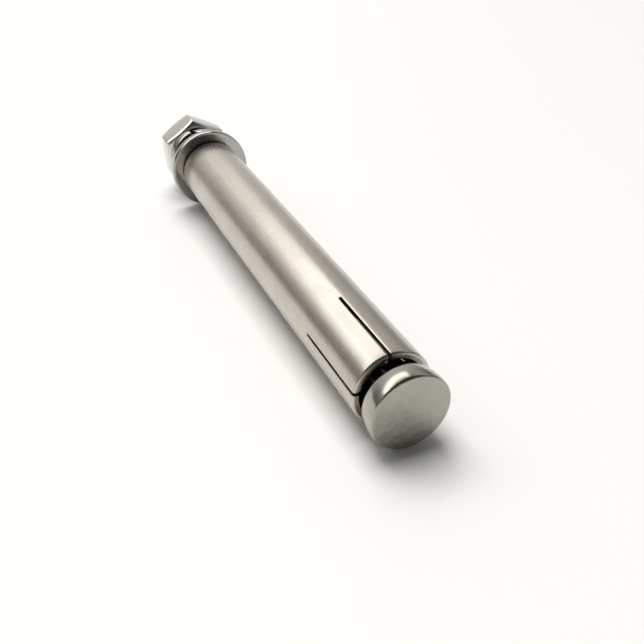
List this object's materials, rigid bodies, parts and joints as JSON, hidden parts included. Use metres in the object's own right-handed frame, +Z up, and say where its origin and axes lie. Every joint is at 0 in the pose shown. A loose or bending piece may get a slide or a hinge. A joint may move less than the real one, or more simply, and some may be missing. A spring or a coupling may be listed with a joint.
{
  "type": "sleeve anchor",
  "caption": "Expansion anchor for masonry: a cone-headed stud in a slotted sleeve, with a flat washer, a spring washer and a hexagon nut that draws the cone into the sleeve.",
  "frame": {"origin": "middle of the floor under the part as it lies, halfway between the head's face and the thread's free end", "axes": "+X along the part from the cone head to the nut, +Z up; the bolt's axis rises 1.4 degrees towards the nut, because the flat washer is wider than the head"},
  "size_m": [0.1042, 0.016, 0.016],
  "materials": {
    "sleeve_steel": "satin",
    "bolt_steel": "satin",
    "washer_steel": "polished",
    "nut_steel": "polished"
  },
  "bodies": {
    "sleeve": {"expansion_sleeve": "sleeve_steel", "flat_washer": "washer_steel"},
    "bolt": {"cone_bolt": "bolt_steel"},
    "lock_washer": {"spring_washer": "washer_steel"},
    "nut": {"hex_nut": "nut_steel"}
  },
  "joints": [
    {"name": "bolt_slide", "type": "slide", "parent": "sleeve", "child": "bolt", "axis": [-0.9997, 0, -0.0237], "range_m": [0, 0.002]},
    {"name": "nut_travel", "type": "slide", "parent": "bolt", "child": "lock_washer", "axis": [0.9997, 0, 0.0237], "range_m": [-0.00188, 0.005]},
    {"name": "nut_turn", "type": "hinge", "parent": "lock_washer", "child": "nut", "pos_m": [0.04505, 0, 0.00827], "axis": [0.9997, 0, 0.0237], "range_deg": [-540, 1440]}
  ],
  "couplings": [
    {"joint": "nut_travel", "follows": "nut_turn", "m_per_rad": 0.00019894}
  ]
}
